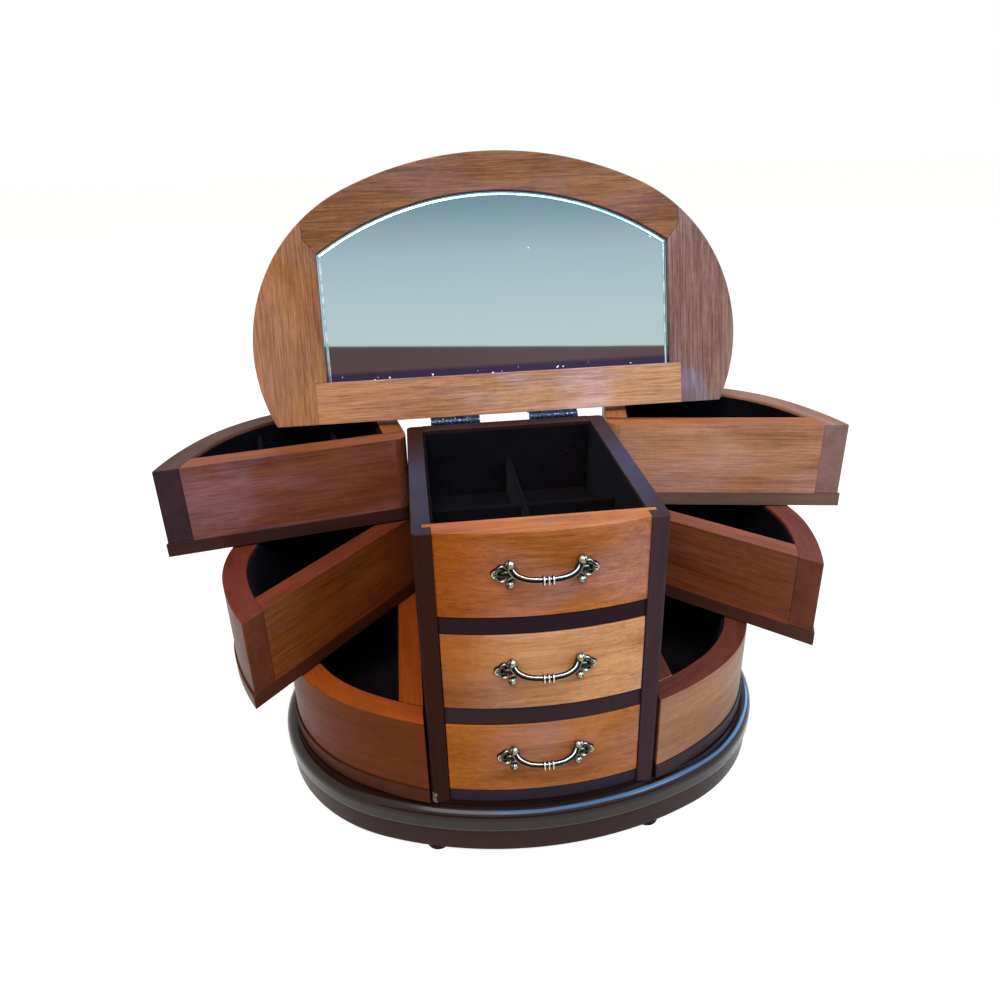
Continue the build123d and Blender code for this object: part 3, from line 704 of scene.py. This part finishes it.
def flower(shape, side, z):
    """A cupped rosette with a fan-ribbed outer petal and a petal above and below it."""
    base_y = face_at(flower_x) + 0.35
    rows = []
    turns, rings = 120, 26
    for ring in range(rings + 1):
        share = ring / rings
        row = []
        for step in range(turns):
            turn = 2 * pi * step / turns
            out = abs((turn + pi) % (2 * pi) - pi)
            upper = abs((turn - radians(102) + pi) % (2 * pi) - pi)
            lower = abs((turn - radians(256) + pi) % (2 * pi) - pi)
            outer_petal, top_petal, low_petal = (bell(angle, 0.0, 0.66) for angle in (out, upper, lower))
            reach = 3.1 + 1.55 * max(outer_petal, top_petal * 0.98, low_petal * 0.98)
            radius = reach * share
            rim = bell(share, 0.84, 0.12)
            fan = 0.5 + 0.5 * cos(turn * 14)
            ribs = fan * outer_petal * bell(share, 0.66, 0.24)
            bead = bell(radius, 1.75, 0.42)
            pit = bell(radius, 0.0, 0.55)
            cup = bell(share, 0.55, 0.2) * max(top_petal, low_petal)
            lift = 0.95 + 0.95 * rim + 0.55 * ribs + 0.55 * bead - 0.8 * pit - 0.35 * cup
            lift *= min(1.0, (1.0 - share) / 0.07) if share > 0.93 else 1.0
            petal = max(outer_petal, top_petal, low_petal)
            worn = 0.12 + 0.75 * rim * (0.35 + 0.65 * petal) + 0.6 * ribs + 0.3 * bead - 0.4 * pit
            spot = Vector((side * (flower_x + radius * cos(turn)), base_y - lift, z + radius * sin(turn)))
            row.append((spot, worn))
        rows.append(row)
    heart = rows.pop(0)
    made = skin(shape, rows)
    middle = shape.verts.new(heart[0][0])
    middle[shape.verts.layers.float["rubbed"]] = 0.0
    for step in range(turns):
        shape.faces.new((middle, made[0][step], made[0][(step + 1) % turns]))


def limb(shape, stations, ridge=1.0):
    """A cast limb of two ridges with a groove between, along stations of (x, y, z, radius)."""
    rows = []
    points = [Vector(station[:3]) for station in stations]
    for number, (point, station) in enumerate(zip(points, stations)):
        ahead = (points[min(number + 1, len(points) - 1)] - points[max(number - 1, 0)]).normalized()
        front = Vector((0, -1, 0))
        front = (front - ahead * front.dot(ahead)).normalized()
        side = ahead.cross(front)
        row = []
        for step in range(32):
            turn = 2 * pi * step / 32
            lean = abs((turn + pi) % (2 * pi) - pi)
            groove = bell(lean, 0.0, 0.42) * ridge
            crest = bell(lean, 0.95, 0.42) * ridge
            reach = station[3] * (1.0 + 0.16 * crest - 0.34 * groove)
            worn = 0.2 + 0.58 * crest - 0.35 * groove - 0.15 * (lean > 1.9)
            row.append((point + (front * cos(turn) + side * sin(turn)) * reach, worn))
        rows.append(row)
    made = skin(shape, rows)
    for ring in (made[0], made[-1]):
        shape.faces.new(ring)


def run(points, count=14):
    """Stations along a smooth line through a few."""
    line = []
    for number in range(len(points) - 1):
        before, here = points[max(number - 1, 0)], points[number]
        there, after = points[number + 1], points[min(number + 2, len(points) - 1)]
        for step in range(count + (number == len(points) - 2)):
            t = step / count
            line.append(tuple(
                0.5 * (2 * b + (c - a) * t + (2 * a - 5 * b + 4 * c - d) * t**2 + (3 * b - a - 3 * c + d) * t**3)
                for a, b, c, d in zip(before, here, there, after)
            ))
    return line


def pull(node, body, low, high):
    """One pull, in mm from the middle of its front's face, then set in its place."""
    shape = bmesh.new()
    shape.verts.layers.float.new("rubbed")
    for side in (-1, 1):
        flower(shape, side, 0.0)
        ball_y = face_at(ball_x)
        ball(shape, side * ball_x, ball_y - 2.3, ball_up, 2.3, side)
        ball(shape, side * ball_x, ball_y - 2.0, -ball_up + 0.1, 2.0, side)
        upper = [(0, -0.2, 1.35), (7, -0.2, 1.35), (11, 0.0, 1.45)]
        upper += [(13.9, 0.8, 1.5), (15.6, 2.5, 1.3), (16.0, 4.2, 1.0)]
        limb(shape, run([(side * x, bar_at(min(x, ball_x)), z, radius) for x, z, radius in upper]))
        under = [(11.5, -0.2, 1.0), (14.2, -1.1, 1.3), (15.8, -2.6, 1.15), (16.1, -4.2, 0.9)]
        limb(shape, run([(side * x, bar_at(min(x, ball_x)) + 0.5, z, radius) for x, z, radius in under]))
        web = [(13.2, 0.2, 0.9), (16.0, 0.2, 1.5), (18.2, 0.1, 1.6), (19.4, 0.0, 1.2)]
        limb(shape, run([(side * x, face_at(x) - 0.9, z, radius) for x, z, radius in web]), 0.6)
        leaf = [(13.6, 2.0, 0.35), (14.4, 3.0, 0.75), (14.6, 4.2, 0.5), (14.9, 5.0, 0.3)]
        limb(shape, run([(side * x, face_at(x) - 1.6, z, radius) for x, z, radius in leaf]), 0.4)
    for place in (-2.1, 0.0, 2.1):
        rows = []
        for band in range(11):
            across = (band / 10 - 0.5) * 1.4
            swell = 1.3 + 1.15 * max(0.0, 1.0 - (across / 0.7) ** 2) ** 0.45
            worn = 0.1 + 0.95 * max(0.0, 1.0 - (across / 0.5) ** 2)
            ring = []
            for step in range(36):
                turn = 2 * pi * step / 36
                spot = Vector((place + across, -bar_stand + swell * cos(turn), -0.2 + swell * sin(turn)))
                ring.append((spot, worn))
            rows.append(ring)
        skin(shape, rows)
    bmesh.ops.recalc_face_normals(shape, faces=shape.faces)
    middle = (low + high) / 2 + 1.8 * MM
    placed = Matrix.Translation((0, face_y * MM, middle)) @ Matrix.Scale(MM, 4)
    bmesh.ops.transform(shape, matrix=placed, verts=shape.verts)
    mesh = bpy.data.meshes.new(node + "_cast")
    shape.to_mesh(mesh)
    shape.free()
    mesh.polygons.foreach_set("use_smooth", [True] * len(mesh.polygons))
    mesh.materials.append(brass)
    piece = bpy.data.objects.new(node + "_cast", mesh)
    bpy.context.scene.collection.objects.link(piece)
    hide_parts(node)
    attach(piece, body)


for node, body, front in (
    ("top_pull", "chest", "false_front"),
    ("drawer_upper_pull", "drawer_upper", "drawer_upper_front"),
    ("drawer_lower_pull", "drawer_lower", "drawer_lower_front"),
):
    pull(node, body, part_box(front)[0].z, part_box(front)[1].z)

# ---- Table, light and camera -------------------------------------------------------------
# A plain pale table, a broad soft lamp overhead, a cooler one to the right like a window, and
# an even sky. Two cards show only in gloss: a brown one far in front, which the mirror shows,
# and a blue one to the right, like a window's sky on the lacquered moulding.
table_mesh = bpy.data.meshes.new("table")
reach = 6.0
table_corners = [(-reach, -reach, 0), (reach, -reach, 0), (reach, reach, 0), (-reach, reach, 0)]
table_mesh.from_pydata(table_corners, [], [(0, 1, 2, 3)])
table = bpy.data.objects.new("table", table_mesh)
bpy.context.scene.collection.objects.link(table)
pale = Finish("pale_table", Roughness=0.95, Specular_IOR_Level=0.0, Emission_Strength=1.0)
ray = {name: pale.node("LightPath", {}, {}, f"Is {name} Ray") for name in ("Camera", "Glossy", "Transmission")}
seen_table = (ray["Camera"] + ray["Glossy"] + ray["Transmission"]).limited()
glow = pale.mix(seen_table, (0.0, 0.0, 0.0), (0.82, 0.82, 0.81))
table_mesh.materials.append(pale.finish(Base_Color=(0.42, 0.42, 0.415), Emission_Color=glow))

card_mesh = bpy.data.meshes.new("card")
card_corners = [(-1.6, -1.45, 0.2), (1.6, -1.45, 0.2), (1.6, -1.45, 0.54), (-1.6, -1.45, 0.75)]
card_mesh.from_pydata(card_corners, [], [(0, 1, 2, 3)])
card = bpy.data.objects.new("card", card_mesh)
bpy.context.scene.collection.objects.link(card)
board = Finish("brown_card", Roughness=1.0, Specular_IOR_Level=0.0, Emission_Strength=1.0)
card_stops = [(0.3, linear(120, 84, 86)), (0.7, linear(140, 104, 106))]
card_tone = board.ramp(board.noise(board.place(), 2.0, 0.5), card_stops)
card_mesh.materials.append(board.finish(Base_Color=(0.0, 0.0, 0.0), Emission_Color=card_tone))
pane_far = 1.5
pane_low = ((-0.1, -0.6, 0.79), (0.24, -0.62, 0.75), (0.86, -0.2, 0.46), (0.84, 0.5, 0.02))
pane_high = ((-0.09, -0.12, 0.98), (0.24, -0.1, 0.96), (0.66, 0.14, 0.74), (0.76, 0.57, 0.28))
pane_points = [Vector(way) * pane_far for pair in zip(pane_low, pane_high) for way in pair]
glint_mesh = bpy.data.meshes.new("window_card")
glint_mesh.from_pydata(pane_points, [], [(n, n + 1, n + 3, n + 2) for n in range(0, len(pane_points) - 2, 2)])
glint = bpy.data.objects.new("window_card", glint_mesh)
bpy.context.scene.collection.objects.link(glint)
pane = Finish("window_pane", Roughness=1.0, Specular_IOR_Level=0.0, Emission_Strength=15.0)
glint_mesh.materials.append(pane.finish(Base_Color=(0.0, 0.0, 0.0), Emission_Color=(0.2, 0.48, 1.0)))
for shown in (card, glint):
    shown.visible_camera = shown.visible_diffuse = shown.visible_shadow = shown.visible_transmission = False

world = bpy.data.worlds.new("studio")
bpy.context.scene.world = world
world.use_nodes = True
sky_nodes = world.node_tree.nodes
sky_links = world.node_tree.links
sky = sky_nodes["Background"]
path = sky_nodes.new("ShaderNodeLightPath")
previous = path.outputs["Is Camera Ray"]
for name in ("Is Glossy Ray", "Is Transmission Ray"):
    seen = sky_nodes.new("ShaderNodeMath")
    seen.operation = "MAXIMUM"
    sky_links.new(previous, seen.inputs[0])
    sky_links.new(path.outputs[name], seen.inputs[1])
    previous = seen.outputs[0]
level = sky_nodes.new("ShaderNodeMapRange")
level.inputs["To Min"].default_value = 0.42
level.inputs["To Max"].default_value = 1.0
sky_links.new(previous, level.inputs["Value"])
sky_links.new(level.outputs["Result"], sky.inputs["Strength"])
sky.inputs["Color"].default_value = (1.0, 1.0, 0.995, 1.0)

for name, spot, power, size, colour in (
    ("overhead", (-0.15, -0.6, 1.3), 13.5, 0.9, (1.0, 0.98, 0.95)),
    ("window", (0.62, -0.5, 0.75), 3.6, 0.3, (0.32, 0.62, 1.0)),
):
    lamp = bpy.data.lights.new(name, "AREA")
    lamp.energy = power
    lamp.size = size
    lamp.color = colour
    holder = bpy.data.objects.new(name, lamp)
    holder.location = spot
    holder.rotation_mode = "QUATERNION"
    holder.rotation_quaternion = (Vector((0, 0, 0.12)) - Vector(spot)).to_track_quat("-Z", "Y")
    bpy.context.scene.collection.objects.link(holder)

eye = bpy.data.cameras.new("eye")
eye.sensor_width = 36.0
eye.lens = 28.94
camera = bpy.data.objects.new("eye", eye)
camera.location = (-51.06 * MM, -373.18 * MM, 346.93 * MM)
camera.rotation_euler = (radians(64.547), radians(1.505), radians(-6.686))
bpy.context.scene.collection.objects.link(camera)
bpy.context.scene.camera = camera
bpy.context.scene.view_settings.view_transform = "Standard"
